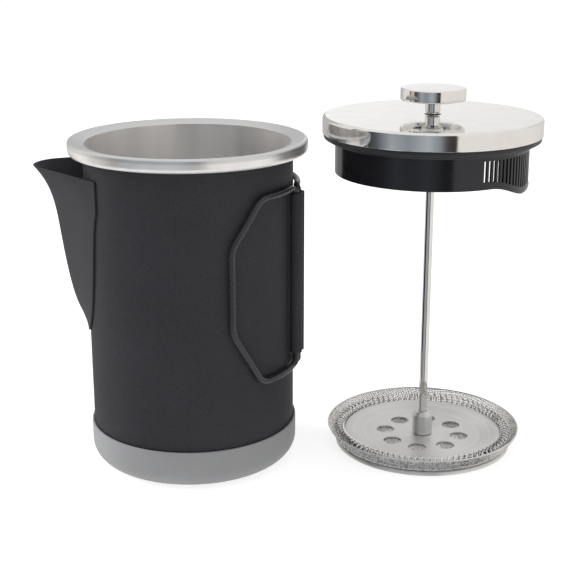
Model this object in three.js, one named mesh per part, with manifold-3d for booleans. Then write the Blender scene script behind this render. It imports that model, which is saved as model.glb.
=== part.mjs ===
// A camping French press: a powder-coated steel pot with two folding wire handles and
// a silicone boot, and a plunger that stands beside it with its lid held up on the rod.
// Millimetres, +Z up. The origin is the middle of the pot's underside, and +X runs from
// the spout to the handle bracket.
import * as THREE from 'three';
import { mergeVertices } from 'three/addons/utils/BufferGeometryUtils.js';
import Module from 'manifold-3d';

const wasm = await Module();
wasm.setup();

// ---------------------------------------------------------------- driving dimensions

const GAP = 0.3; // between two pieces that touch
const RIGHT_ANGLE = Math.PI / 2;

// Pot
const POT_RADIUS = 50;
const POT_SHEET = 0.9;
const POT_CORNER = 8.5; // radius where the wall meets the floor
const RIM_RADIUS = 57.1; // the rolled rim's outermost edge
const RIM_TOP = 160.3;
const RIM_BOTTOM = 153.6;
const RIM_SHOULDER = 2.1; // radius where the rim's slope turns down
const RIM_CURL = 2.4; // radius where its edge curls back under
const RIM_SLOPE = THREE.MathUtils.degToRad(27); // how steeply it rises from the wall
const CURL_END = THREE.MathUtils.degToRad(-125); // where the curl stops, short of the wall
const WINDOW_WIDTH = 53; // pouring window behind the spout
const WINDOW_BOTTOM = 114;
const WINDOW_TOP = 141;
const WINDOW_CORNER = 6;

// Boot
const BOOT_RADIUS = 51.2;
const BOOT_HEIGHT = 19.7;
const BOOT_CORNER = 9.5;
const BOOT_WALL = BOOT_RADIUS - POT_RADIUS - GAP;
const POT_FLOOR = 2.8; // underside of the pot, above the boot's pad

// Spout
const SPOUT_SHEET = 0.9;
const SPOUT_BOTTOM = 65.9;
const SPOUT_WAIST = 110.9; // the height where the lip's flare begins
const SPOUT_TOP = 144.6;
const SPOUT_REACH = 78.4; // inner radius at the lip's tip
const SPOUT_WAIST_REACH = 66.2;
const SPOUT_NOSE = 4.5; // radius of the fold down the spout's front
const SPOUT_SEAM = THREE.MathUtils.degToRad(47); // the widest that the sides open round the pot
const SPOUT_LAP = THREE.MathUtils.degToRad(2.4); // flange welded to the pot, on each side
const FOOT_PULL = new THREE.Vector2(8.6, 0.4); // how far the fold's curve is drawn out at each end
const BULGE_PULL = new THREE.Vector2(3.5, 24.9);
const FLARE_PULL = new THREE.Vector2(2.3, 16.7);
const LIP_PULL = new THREE.Vector2(8.1, 8.3);

// Handles and their bracket
const WIRE_RADIUS = 1.5;
const PIVOT_X = 53.2;
const PIVOT_OFFSET = 2.1; // each pivot leg, to its side of the X axis
const HANDLE_RADIUS = Math.hypot(PIVOT_X, PIVOT_OFFSET); // the folded wire, about the pot's axis
const HANDLE_TOP = 138.8;
const HANDLE_BOTTOM = 50.2;
const GRIP_TOP = 117.2;
const GRIP_BOTTOM = 76.7;
const HANDLE_SHOULDER = THREE.MathUtils.degToRad(34.3); // where the top and bottom runs end
const HANDLE_REACH = THREE.MathUtils.degToRad(51.6); // the grip, round the pot from the bracket
const WIRE_BEND = 4.5;
const WIRE_JOINT = 1; // between the wire's two ends, inside the sleeve
const BRACKET_TOP = 136.2;
const BRACKET_BOTTOM = 57.2;
const BRACKET_HALF_WIDTH = 5.1;
const BRACKET_REACH = 56.2;
const BORE_RADIUS = 1.9;

// The plunger stands beside the pot, and the handles swing open below its lid
const PLUNGER_X = 111.8;
const PLUNGER_Y = 36;
const SEAT_HEIGHT = 156.6; // underside of the lid's flange when the plunger stands

// Lid, with heights above its seat
const CAP_RADIUS = 53;
const CAP_SHEET = 0.8;
const CAP_BOTTOM = 4.3;
const CAP_TOP = 13;
const CAP_EDGE = 1.6; // radius of the cap's rounded top edge
const FLANGE_RADIUS = 52.4;
const FLANGE_STEP_RADIUS = 50.2;
const FLANGE_STEP = 1.6;
const FLANGE_TOP = 4;
const SKIRT_RADIUS = 46.75;
const SKIRT_WALL = 1.4;
const SKIRT_DEPTH = 15.2;
const TAB_DEPTH = 21; // the skirt's deeper part, which faces the spout
const TAB_FULL = THREE.MathUtils.degToRad(8); // half the tab's full-depth arc
const TAB_BLEND = THREE.MathUtils.degToRad(40); // half the arc where the tab has run out
const TAB_DIRECTION = THREE.MathUtils.degToRad(-7); // the way the tab faces
const INSERT_TOP = 6.3;
const INSERT_RADIUS = 51.6;
const SLOT_COUNT = 29;
const SLOT_PITCH = THREE.MathUtils.degToRad(3.2);
const SLOT_WIDTH = 1.3;
const SLOT_MARGIN = 3.4; // the solid edge left under the slots
const SLOT_TOP = -2;
const BUSH_RADIUS = 4;
const BUSH_FLANGE_RADIUS = 8;
const BUSH_FLANGE = 2.1;
const BUSH_TOP = 13.3;
const WASHER_RADIUS = 9;
const WASHER_THICKNESS = 1;

// Plunger rod and knob
const ROD_RADIUS = 2.1;
const ROD_BOTTOM = 10.3;
const ROD_TOP = 179.1;
const NECK_RADIUS = 3.6;
const NECK_BOTTOM = 170.5;
const KNOB_BOTTOM = 176.5;
const KNOB_TOP = 182.5;
const KNOB_RADIUS = 15.75;
const KNOB_LIP = 1.6;
const KNOB_DISH = 1.8;
const KNOB_BOSS = 5;
const KNOB_EDGE = 0.7;

// Filter, from the bottom plate up
const PLATE_RADIUS = 44.5;
const PLATE_SHEET = 0.8;
const PLATE_TOP = 2;
const SCREEN_SHEET = 0.4;
const SCREEN_BOTTOM = 2.3;
const SCREEN_FLAT_RADIUS = 43;
const SCREEN_KNEE = new THREE.Vector2(1.4, 1); // the step from the flat to the flare
const SCREEN_RADIUS = 48.9;
const SCREEN_TOP = 9.8;
const SPIRAL_PLATE_BOTTOM = 3;
const SPIRAL_PLATE_RADIUS = 39.9;
const SPIRAL_PLATE_FLAT = 30;
const SPIRAL_PLATE_RISE = 2.1;
const COIL_RING_RADIUS = 42.7;
const COIL_HEIGHT = 6.6;
const COIL_RADIUS = 2.5;
const COIL_WIRE = 0.4;
const COIL_TURNS = 48;
const HUB_BOTTOM = 4.1;
const HUB_TOP = 16.1;
const HUB_RADIUS = 5;
const HUB_TOP_RADIUS = 3.5;
const HUB_CHAMFER = 2.2; // height of the slope between the two radii
const SCREW_HEAD_RADIUS = 4.5;
const SCREW_HEAD_BOTTOM = 0.2;
const SCREW_HEAD_TOP = 0.9;
const SCREW_TOP = 10;
const CROSS_PLATE_HOLES = [
  { count: 6, radius: 15, hole: 4.5 },
  { count: 12, radius: 31, hole: 5.2 },
];
const SPIRAL_PLATE_HOLES = [{ count: 8, radius: 19, hole: 4.6 }];

// Facets round large rings, the knob, small rings, holes and bores
const LARGE = 40;
const MEDIUM = 28;
const SMALL = 16;
const HOLE_FACETS = 10;
const BORE_FACETS = 12;
const SKIRT_FACETS = 64;
const WIRE_FACETS = 8;
const COIL_FACETS = 4;

// Steps along the arcs of an outline, and along the wires
const EDGE_STEPS = 2;
const CORNER_STEPS = 3;
const SLEEVE_STEPS = 4;
const RIM_STEPS = 5; // in each of the rim's two bends
const FOLD_STEPS = 6;
const SPOUT_LEVELS = 18;
const SPOUT_CROWDING = 1.6; // packs the spout's levels towards its foot, where the sides spread fastest
const HANDLE_STEPS = 66;
const COIL_STEPS = 6; // in each turn

// ---------------------------------------------------------------- finishes

const finish = (color, roughness, metalness) => ({ color, roughness, metalness });
const POWDER_COAT = finish(0x303134, 0.62, 0.1);
const BRUSHED_STEEL = finish(0xb9b6b0, 0.35, 1);
const POLISHED_STEEL = finish(0xdedcd8, 0.08, 1);
const SILICONE = finish(0x8b8b8a, 0.75, 0);
const BLACK_PLASTIC = finish(0x141416, 0.18, 0);
const BLACK_GASKET = finish(0x1c1c1e, 0.55, 0);

const press = new THREE.Group();
const plunger = new THREE.Group();
plunger.position.set(PLUNGER_X, PLUNGER_Y, 0);
const lid = new THREE.Group();
lid.position.z = SEAT_HEIGHT;
plunger.add(lid);
press.add(plunger);

function add(group, name, geometry, look) {
  const mesh = new THREE.Mesh(geometry, new THREE.MeshStandardMaterial(look));
  mesh.name = name;
  group.add(mesh);
  return mesh;
}

// ---------------------------------------------------------------- solids from geometry

// Drops everything but position and joins shared corners, so that the mesh is closed.
function closed(geometry) {
  const bare = new THREE.BufferGeometry();
  bare.setAttribute('position', geometry.getAttribute('position').clone());
  if (geometry.index) bare.setIndex(geometry.index.clone());
  const merged = mergeVertices(bare);
  const corners = merged.index.array;
  const kept = [];
  for (let i = 0; i < corners.length; i += 3) {
    const [a, b, c] = corners.slice(i, i + 3);
    if (a !== b && b !== c && c !== a) kept.push(a, b, c);
  }
  merged.setIndex(kept);
  return merged;
}

function toSolid(geometry) {
  const mesh = closed(geometry);
  return new wasm.Manifold(new wasm.Mesh({
    numProp: 3,
    vertProperties: new Float32Array(mesh.getAttribute('position').array),
    triVerts: new Uint32Array(mesh.index.array),
  }));
}

function toGeometry(solid) {
  const mesh = solid.getMesh();
  const geometry = new THREE.BufferGeometry();
  geometry.setAttribute('position', new THREE.BufferAttribute(mesh.vertProperties, 3));
  geometry.setIndex(new THREE.BufferAttribute(mesh.triVerts, 1));
  geometry.computeVertexNormals();
  return geometry;
}

function cut(geometry, cutters) {
  let solid = toSolid(geometry);
  for (const cutter of cutters) solid = solid.subtract(toSolid(cutter));
  return toGeometry(solid);
}

// ---------------------------------------------------------------- shape helpers

const at = (radius, height) => new THREE.Vector2(radius, height);

// Points along an arc in the turning plane, both ends included.
function arc(centre, radius, from, to, steps) {
  const points = [];
  for (let i = 0; i <= steps; i += 1) {
    const angle = THREE.MathUtils.lerp(from, to, i / steps);
    points.push(at(centre.x + radius * Math.cos(angle), centre.y + radius * Math.sin(angle)));
  }
  return points;
}

// Turns an outline of radius and height about the Z axis. It runs anticlockwise round
// the material: out along the underside, up the outside and back in over the top.
function turn(outline, facets) {
  return new THREE.LatheGeometry(outline, facets).rotateX(RIGHT_ANGLE);
}

// Turns an outline that stays off the axis, as a ring.
function turnRing(outline, facets) {
  return turn([...outline, outline[0].clone()], facets);
}

// A plain ring or washer of rectangular section.
function ringSection(inner, outer, bottom, top) {
  return [at(inner, bottom), at(outer, bottom), at(outer, top), at(inner, top)];
}

// An upright round bar, used to cut holes.
function bar(radius, bottom, top, x = 0, y = 0, facets = SMALL) {
  const outline = [at(0, bottom), at(radius, bottom), at(radius, top), at(0, top)];
  return turn(outline, facets).translate(x, y, 0);
}

// Bars for the rings of holes through a plate.
function holeCutters(rings, bottom, top) {
  const cutters = [];
  for (const { count, radius, hole } of rings) {
    for (let i = 0; i < count; i += 1) {
      const angle = (i / count) * 2 * Math.PI;
      const x = radius * Math.cos(angle);
      const y = radius * Math.sin(angle);
      cutters.push(bar(hole, bottom, top, x, y, HOLE_FACETS));
    }
  }
  return cutters;
}

// A closed sheet between an outer and an inner grid of points. Both grids are lists of
// rows from the bottom up, and each row runs anticlockwise seen from above. A wrapped
// sheet closes on itself into a ring.
function sheet(outer, inner, wrapped = false) {
  const rows = outer.length;
  const columns = outer[0].length;
  const corners = [...outer.flat(), ...inner.flat()];
  const faces = [];
  const outside = (row, column) => row * columns + (column % columns);
  const inside = (row, column) => rows * columns + outside(row, column);
  const quad = (a, b, c, d) => faces.push(a, b, c, a, c, d);
  const spans = wrapped ? columns : columns - 1;
  for (let row = 0; row < rows - 1; row += 1) {
    for (let i = 0; i < spans; i += 1) {
      quad(outside(row, i), outside(row, i + 1), outside(row + 1, i + 1), outside(row + 1, i));
      quad(inside(row, i + 1), inside(row, i), inside(row + 1, i), inside(row + 1, i + 1));
    }
    if (!wrapped) {
      quad(inside(row, 0), outside(row, 0), outside(row + 1, 0), inside(row + 1, 0));
      quad(outside(row, spans), inside(row, spans), inside(row + 1, spans), outside(row + 1, spans));
    }
  }
  for (let i = 0; i < spans; i += 1) {
    const top = rows - 1;
    quad(outside(0, i + 1), outside(0, i), inside(0, i), inside(0, i + 1));
    quad(outside(top, i), outside(top, i + 1), inside(top, i + 1), inside(top, i));
  }
  const geometry = new THREE.BufferGeometry().setFromPoints(corners);
  geometry.setIndex(faces);
  geometry.computeVertexNormals();
  return geometry;
}

// A round wire along a curve.
function wire(curve, radius, steps, sides) {
  const section = new THREE.Shape(arc(at(0, 0), radius, 0, 2 * Math.PI, sides).slice(0, -1));
  return new THREE.ExtrudeGeometry(section, { extrudePath: curve, steps, bevelEnabled: false });
}

// ---------------------------------------------------------------- pot

// A drawn cup whose wall ends in an open roll, with the pouring window cut through it.
function potBody() {
  const corner = at(POT_RADIUS - POT_CORNER, POT_FLOOR + POT_CORNER);
  const outline = [
    at(0, POT_FLOOR),
    ...arc(corner, POT_CORNER, -RIGHT_ANGLE, 0, CORNER_STEPS),
    ...rim(POT_SHEET),
    ...rim(0).reverse(),
    ...arc(corner, POT_CORNER - POT_SHEET, 0, -RIGHT_ANGLE, CORNER_STEPS),
    at(0, POT_FLOOR + POT_SHEET),
  ];
  return cut(turn(outline, LARGE), [windowCutter()]);
}

// The rim's outline from the wall to its end, at a depth below the sheet's upper face. It
// slopes up, turns down over its shoulder and curls back under.
function rim(depth) {
  const wall = POT_RADIUS - POT_SHEET + depth;
  const shoulder = at(RIM_RADIUS - RIM_SHOULDER, RIM_TOP - RIM_SHOULDER);
  const curl = at(RIM_RADIUS - RIM_CURL, RIM_BOTTOM + RIM_CURL);
  const start = RIGHT_ANGLE + RIM_SLOPE;
  const bend = arc(shoulder, RIM_SHOULDER - depth, start, 0, RIM_STEPS);
  const rise = (bend[0].x - wall) * Math.tan(RIM_SLOPE);
  return [
    at(wall, bend[0].y - rise),
    ...bend,
    ...arc(curl, RIM_CURL - depth, 0, CURL_END, RIM_STEPS),
  ];
}

// A rounded rectangle pushed through the wall on the spout's side.
function windowCutter() {
  const half = WINDOW_WIDTH / 2;
  const corner = WINDOW_CORNER;
  const shape = new THREE.Shape();
  shape.moveTo(WINDOW_BOTTOM + corner, -half);
  shape.lineTo(WINDOW_TOP - corner, -half);
  shape.quadraticCurveTo(WINDOW_TOP, -half, WINDOW_TOP, -half + corner);
  shape.lineTo(WINDOW_TOP, half - corner);
  shape.quadraticCurveTo(WINDOW_TOP, half, WINDOW_TOP - corner, half);
  shape.lineTo(WINDOW_BOTTOM + corner, half);
  shape.quadraticCurveTo(WINDOW_BOTTOM, half, WINDOW_BOTTOM, half - corner);
  shape.lineTo(WINDOW_BOTTOM, -half + corner);
  shape.quadraticCurveTo(WINDOW_BOTTOM, -half, WINDOW_BOTTOM + corner, -half);
  const settings = { depth: POT_RADIUS, bevelEnabled: false, curveSegments: CORNER_STEPS };
  const block = new THREE.ExtrudeGeometry(shape, settings);
  return block.rotateY(-RIGHT_ANGLE).translate(-POT_RADIUS / 2, 0, 0);
}

// A soft cup stretched over the pot's lower edge, with a rounded bottom corner.
function baseBoot() {
  const corner = at(BOOT_RADIUS - BOOT_CORNER, BOOT_CORNER);
  const potCorner = at(POT_RADIUS - POT_CORNER, POT_FLOOR + POT_CORNER);
  const inner = POT_RADIUS + GAP;
  const outline = [
    at(0, 0),
    ...arc(corner, BOOT_CORNER, -RIGHT_ANGLE, 0, CORNER_STEPS + 1),
    at(BOOT_RADIUS, BOOT_HEIGHT - BOOT_WALL),
    at(BOOT_RADIUS - BOOT_WALL / 2, BOOT_HEIGHT),
    at(inner, BOOT_HEIGHT),
    ...arc(potCorner, POT_CORNER + GAP, 0, -RIGHT_ANGLE, CORNER_STEPS),
    at(0, POT_FLOOR - GAP),
  ];
  return turn(outline, LARGE);
}

// How far the spout's fold stands from the pot's axis at each height.
function spoutReach() {
  const foot = at(POT_RADIUS + 2 * GAP, SPOUT_BOTTOM);
  const waist = at(SPOUT_WAIST_REACH, SPOUT_WAIST);
  const lip = at(SPOUT_REACH, SPOUT_TOP);
  const bulgeStart = foot.clone().add(FOOT_PULL);
  const bulgeEnd = waist.clone().sub(BULGE_PULL);
  const flareStart = waist.clone().add(FLARE_PULL);
  const flareEnd = lip.clone().sub(LIP_PULL);
  const profile = new THREE.CurvePath();
  profile.add(new THREE.CubicBezierCurve(foot, bulgeStart, bulgeEnd, waist));
  profile.add(new THREE.CubicBezierCurve(waist, flareStart, flareEnd, lip));
  return profile;
}

// Folded sheet: at each height its two flat sides leave the pot, along tangents where they
// open less than the seam's limit, and meet in a rounded fold. A narrow flange laps onto the
// pot on each side.
function spout() {
  const profile = spoutReach();
  const base = POT_RADIUS + GAP;
  const outer = [];
  const inner = [];
  for (let level = 0; level <= SPOUT_LEVELS; level += 1) {
    const { x: reach, y: height } = profile.getPointAt((level / SPOUT_LEVELS) ** SPOUT_CROWDING);
    const centre = reach - SPOUT_NOSE;
    const seam = Math.min(Math.acos((base - SPOUT_NOSE) / centre), SPOUT_SEAM);
    const side = at(base * Math.cos(seam) - centre, base * Math.sin(seam));
    const turned = side.angle() - Math.acos(SPOUT_NOSE / side.length()); // where side meets fold
    const stops = [[-seam - SPOUT_LAP, 0, base], [-seam, 0, base]];
    for (let i = 0; i <= FOLD_STEPS; i += 1) {
      const lean = THREE.MathUtils.lerp(-turned, turned, i / FOLD_STEPS);
      stops.push([lean, centre, SPOUT_NOSE]);
    }
    stops.push([seam, 0, base], [seam + SPOUT_LAP, 0, base]);
    const row = (extra) => stops.map(([lean, middle, radius]) => new THREE.Vector3(
      middle + (radius + extra) * Math.cos(lean),
      (radius + extra) * Math.sin(lean),
      height,
    ));
    outer.push(row(SPOUT_SHEET));
    inner.push(row(0));
  }
  return sheet(outer, inner).rotateZ(Math.PI);
}

// A double sleeve welded to the pot, with one upright bore for each handle.
function handleBracket() {
  const inner = POT_RADIUS + GAP;
  const edge = Math.asin(BRACKET_HALF_WIDTH / inner);
  const round = BRACKET_REACH - PIVOT_X;
  const side = BRACKET_HALF_WIDTH - round;
  const shape = new THREE.Shape([
    ...arc(at(0, 0), inner, edge, -edge, SLEEVE_STEPS),
    ...arc(at(PIVOT_X, -side), round, -RIGHT_ANGLE, 0, SLEEVE_STEPS),
    ...arc(at(PIVOT_X, side), round, 0, RIGHT_ANGLE, SLEEVE_STEPS),
  ]);
  for (const offset of [-PIVOT_OFFSET, PIVOT_OFFSET]) {
    const bore = arc(at(PIVOT_X, offset), BORE_RADIUS, 0, 2 * Math.PI, BORE_FACETS);
    shape.holes.push(new THREE.Path(bore.slice(0, -1)));
  }
  const depth = BRACKET_TOP - BRACKET_BOTTOM;
  return new THREE.ExtrudeGeometry(shape, { depth, bevelEnabled: false }).translate(0, 0, BRACKET_BOTTOM);
}

// The handle's outline laid flat: distance round the pot against height, corners rounded.
function handleOutline() {
  const joint = (BRACKET_TOP + BRACKET_BOTTOM) / 2;
  const leg = Math.atan2(PIVOT_OFFSET, PIVOT_X) * HANDLE_RADIUS;
  const shoulder = HANDLE_SHOULDER * HANDLE_RADIUS;
  const grip = HANDLE_REACH * HANDLE_RADIUS;
  const corners = [
    at(leg, joint + WIRE_JOINT / 2),
    at(leg, HANDLE_TOP),
    at(shoulder, HANDLE_TOP),
    at(grip, GRIP_TOP),
    at(grip, GRIP_BOTTOM),
    at(shoulder, HANDLE_BOTTOM),
    at(leg, HANDLE_BOTTOM),
    at(leg, joint - WIRE_JOINT / 2),
  ];
  const outline = new THREE.Path();
  outline.moveTo(corners[0].x, corners[0].y);
  for (let i = 1; i < corners.length - 1; i += 1) {
    const corner = corners[i];
    const before = corners[i - 1].clone().sub(corner).setLength(WIRE_BEND).add(corner);
    const after = corners[i + 1].clone().sub(corner).setLength(WIRE_BEND).add(corner);
    outline.lineTo(before.x, before.y);
    outline.quadraticCurveTo(corner.x, corner.y, after.x, after.y);
  }
  outline.lineTo(corners.at(-1).x, corners.at(-1).y);
  return outline;
}

// The outline wrapped round the pot, on the front side (-1) or the back side (+1).
class WrappedWire extends THREE.Curve {
  constructor(outline, side) {
    super();
    this.outline = outline;
    this.side = side;
  }

  getPoint(t) {
    const { x: distance, y: height } = this.outline.getPoint(t);
    const angle = (this.side * distance) / HANDLE_RADIUS;
    const x = HANDLE_RADIUS * Math.cos(angle);
    return new THREE.Vector3(x, HANDLE_RADIUS * Math.sin(angle), height);
  }
}

function wireHandle(side) {
  return wire(new WrappedWire(handleOutline(), side), WIRE_RADIUS, HANDLE_STEPS, WIRE_FACETS);
}

// ---------------------------------------------------------------- lid

// A shallow polished pan, open below, with a hole for the guide bush.
function lidCap() {
  const corner = at(CAP_RADIUS - CAP_EDGE, CAP_TOP - CAP_EDGE);
  return turnRing([
    at(CAP_RADIUS - CAP_SHEET, CAP_BOTTOM),
    at(CAP_RADIUS, CAP_BOTTOM),
    ...arc(corner, CAP_EDGE, 0, RIGHT_ANGLE, CORNER_STEPS),
    at(BUSH_RADIUS + GAP, CAP_TOP),
    at(BUSH_RADIUS + GAP, CAP_TOP - CAP_SHEET),
    ...arc(corner, CAP_EDGE - CAP_SHEET, RIGHT_ANGLE, 0, CORNER_STEPS),
  ], LARGE);
}

// The stepped ring that drops into the rolled rim and seals on it.
function flangeRing() {
  const inner = SKIRT_RADIUS + GAP;
  return turnRing([
    at(inner, 0),
    at(FLANGE_STEP_RADIUS, 0),
    at(FLANGE_STEP_RADIUS, FLANGE_STEP),
    at(FLANGE_RADIUS, FLANGE_STEP),
    at(FLANGE_RADIUS, FLANGE_TOP),
    at(inner, FLANGE_TOP),
  ], LARGE);
}

// How deep the skirt hangs at an angle from the middle of its tab.
function skirtDepth(angle) {
  const blend = THREE.MathUtils.smoothstep(TAB_BLEND - Math.abs(angle), 0, TAB_BLEND - TAB_FULL);
  return THREE.MathUtils.lerp(SKIRT_DEPTH, TAB_DEPTH, blend);
}

// The black insert: a plate under the cap with a hanging skirt that is slotted where it
// faces the spout.
function strainerSkirt() {
  const inner = SKIRT_RADIUS - SKIRT_WALL;
  const middle = (CAP_BOTTOM + INSERT_TOP) / 2; // the skirt runs up into the plate
  const ring = (radius, low) => {
    const row = [];
    for (let i = 0; i < SKIRT_FACETS; i += 1) {
      const angle = (i / SKIRT_FACETS) * 2 * Math.PI - Math.PI;
      const height = low ? -skirtDepth(angle) : middle;
      row.push(new THREE.Vector3(radius * Math.cos(angle), radius * Math.sin(angle), height));
    }
    return row;
  };
  const skirt = sheet([ring(SKIRT_RADIUS, true), ring(SKIRT_RADIUS, false)],
    [ring(inner, true), ring(inner, false)], true);
  const section = ringSection(BUSH_RADIUS + GAP, INSERT_RADIUS, CAP_BOTTOM, INSERT_TOP);
  const plate = turnRing(section, SKIRT_FACETS);
  const joined = toGeometry(toSolid(plate).add(toSolid(skirt)));
  return cut(joined, slotCutters());
}

function slotCutters() {
  const cutters = [];
  for (let i = 0; i < SLOT_COUNT; i += 1) {
    const angle = (i - (SLOT_COUNT - 1) / 2) * SLOT_PITCH;
    const bottom = SLOT_MARGIN - skirtDepth(angle);
    const height = SLOT_TOP - bottom;
    const cutter = new THREE.BoxGeometry(4 * SKIRT_WALL, SLOT_WIDTH, height);
    cutter.translate(SKIRT_RADIUS - SKIRT_WALL / 2, 0, bottom + height / 2);
    cutters.push(cutter.rotateZ(angle));
  }
  return cutters;
}

// The plain bearing that the rod slides through, flanged under the insert's plate.
function guideBush() {
  const bore = ROD_RADIUS + GAP;
  const flangeTop = CAP_BOTTOM - GAP;
  return turnRing([
    at(bore, flangeTop - BUSH_FLANGE),
    at(BUSH_FLANGE_RADIUS, flangeTop - BUSH_FLANGE),
    at(BUSH_FLANGE_RADIUS, flangeTop),
    at(BUSH_RADIUS, flangeTop),
    at(BUSH_RADIUS, BUSH_TOP),
    at(bore, BUSH_TOP),
  ], SMALL);
}

// The push-on washer that holds the bush to the insert's plate.
function bushWasher() {
  const bottom = INSERT_TOP + GAP;
  return turnRing(ringSection(BUSH_RADIUS + GAP, WASHER_RADIUS, bottom, bottom + WASHER_THICKNESS), SMALL);
}

// ---------------------------------------------------------------- plunger

// A disc whose underside is dished round a central boss, with a blind bore for the rod.
function knob() {
  const bore = ROD_RADIUS + GAP;
  const dish = KNOB_BOTTOM + KNOB_DISH;
  const rim = KNOB_RADIUS - KNOB_LIP;
  return turn([
    at(0, ROD_TOP + GAP),
    at(bore, ROD_TOP + GAP),
    at(bore, KNOB_BOTTOM),
    at(KNOB_BOSS, KNOB_BOTTOM),
    at(KNOB_BOSS + KNOB_DISH, dish),
    at(rim - KNOB_DISH / 2, dish),
    at(rim, KNOB_BOTTOM),
    ...arc(at(KNOB_RADIUS - KNOB_EDGE, KNOB_BOTTOM + KNOB_EDGE), KNOB_EDGE, -RIGHT_ANGLE, 0, EDGE_STEPS),
    ...arc(at(KNOB_RADIUS - KNOB_EDGE, KNOB_TOP - KNOB_EDGE), KNOB_EDGE, 0, RIGHT_ANGLE, EDGE_STEPS),
    at(0, KNOB_TOP),
  ], MEDIUM);
}

// The collar between knob and lid, which stops the lid at the top of the rod.
function knobNeck() {
  return turnRing(ringSection(ROD_RADIUS + GAP, NECK_RADIUS, NECK_BOTTOM, KNOB_BOTTOM - GAP), SMALL);
}

function rod() {
  return bar(ROD_RADIUS, ROD_BOTTOM, ROD_TOP);
}

// The round nut that clamps the filter stack, with its top edge chamfered.
function hubNut() {
  const bore = ROD_RADIUS + GAP;
  return turnRing([
    at(bore, HUB_BOTTOM),
    at(HUB_RADIUS, HUB_BOTTOM),
    at(HUB_RADIUS, HUB_TOP - HUB_CHAMFER),
    at(HUB_TOP_RADIUS, HUB_TOP),
    at(bore, HUB_TOP),
  ], SMALL);
}

// The dished plate whose raised edge carries the coil spring.
function spiralPlate() {
  const bottom = SPIRAL_PLATE_BOTTOM;
  const top = bottom + PLATE_SHEET;
  const knee = SPIRAL_PLATE_RADIUS - SPIRAL_PLATE_RISE;
  const bore = ROD_RADIUS + GAP;
  const plate = turnRing([
    at(bore, bottom),
    at(SPIRAL_PLATE_FLAT, bottom),
    at(knee, bottom + SPIRAL_PLATE_RISE),
    at(SPIRAL_PLATE_RADIUS, bottom + SPIRAL_PLATE_RISE),
    at(SPIRAL_PLATE_RADIUS, top + SPIRAL_PLATE_RISE),
    at(knee, top + SPIRAL_PLATE_RISE),
    at(SPIRAL_PLATE_FLAT, top),
    at(bore, top),
  ], LARGE);
  return cut(plate, holeCutters(SPIRAL_PLATE_HOLES, 0, HUB_BOTTOM));
}

// The helix of the spring, bent round into a ring that ends half a turn short of closing.
class RingHelix extends THREE.Curve {
  getPoint(t) {
    const around = t * 2 * Math.PI * (1 - 0.5 / COIL_TURNS);
    const twist = t * 2 * Math.PI * COIL_TURNS;
    const radius = COIL_RING_RADIUS + (COIL_RADIUS - COIL_WIRE) * Math.cos(twist);
    const height = COIL_HEIGHT + (COIL_RADIUS - COIL_WIRE) * Math.sin(twist);
    return new THREE.Vector3(radius * Math.cos(around), radius * Math.sin(around), height);
  }
}

function coilSpring() {
  return wire(new RingHelix(), COIL_WIRE, COIL_TURNS * COIL_STEPS, COIL_FACETS);
}

// The fine screen, drawn as a sheet: flat below and flared at its edge.
function meshScreen() {
  const bottom = SCREEN_BOTTOM;
  const top = bottom + SCREEN_SHEET;
  const bore = ROD_RADIUS + GAP;
  return turnRing([
    at(bore, bottom),
    at(SCREEN_FLAT_RADIUS, bottom),
    at(SCREEN_FLAT_RADIUS, bottom).add(SCREEN_KNEE),
    at(SCREEN_RADIUS, SCREEN_TOP - SCREEN_SHEET),
    at(SCREEN_RADIUS - SCREEN_SHEET / 2, SCREEN_TOP),
    at(SCREEN_FLAT_RADIUS - SCREEN_SHEET, top).add(SCREEN_KNEE),
    at(SCREEN_FLAT_RADIUS - SCREEN_SHEET, top),
    at(bore, top),
  ], LARGE);
}

// The pierced plate under the screen, standing on its turned-down edge.
function crossPlate() {
  const underside = PLATE_TOP - PLATE_SHEET;
  const plate = turnRing([
    at(ROD_RADIUS + GAP, underside),
    at(PLATE_RADIUS - 2 * PLATE_SHEET, underside),
    at(PLATE_RADIUS - PLATE_SHEET, 0),
    at(PLATE_RADIUS, 0),
    at(PLATE_RADIUS, underside),
    at(PLATE_RADIUS - PLATE_SHEET, PLATE_TOP),
    at(ROD_RADIUS + GAP, PLATE_TOP),
  ], LARGE);
  return cut(plate, holeCutters(CROSS_PLATE_HOLES, -GAP, PLATE_TOP + GAP));
}

// The screw that clamps the stack up into the hub nut.
function clampScrew() {
  return turn([
    at(0, SCREW_HEAD_BOTTOM),
    at(SCREW_HEAD_RADIUS, SCREW_HEAD_BOTTOM),
    at(SCREW_HEAD_RADIUS, SCREW_HEAD_TOP),
    at(ROD_RADIUS, SCREW_HEAD_TOP),
    at(ROD_RADIUS, SCREW_TOP),
    at(0, SCREW_TOP),
  ], SMALL);
}

// ---------------------------------------------------------------- assembly

add(press, 'pot_body', potBody(), POWDER_COAT);
add(press, 'base_boot', baseBoot(), SILICONE);
add(press, 'spout', spout(), POWDER_COAT);
add(press, 'handle_bracket', handleBracket(), POWDER_COAT);
add(press, 'front_handle', wireHandle(-1), POWDER_COAT);
add(press, 'back_handle', wireHandle(1), POWDER_COAT);

add(lid, 'lid_cap', lidCap(), POLISHED_STEEL);
add(lid, 'flange_ring', flangeRing(), BLACK_GASKET);
add(lid, 'strainer_skirt', strainerSkirt(), BLACK_PLASTIC).rotation.z = TAB_DIRECTION;
add(lid, 'guide_bush', guideBush(), BLACK_PLASTIC);
add(lid, 'bush_washer', bushWasher(), BRUSHED_STEEL);

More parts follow.
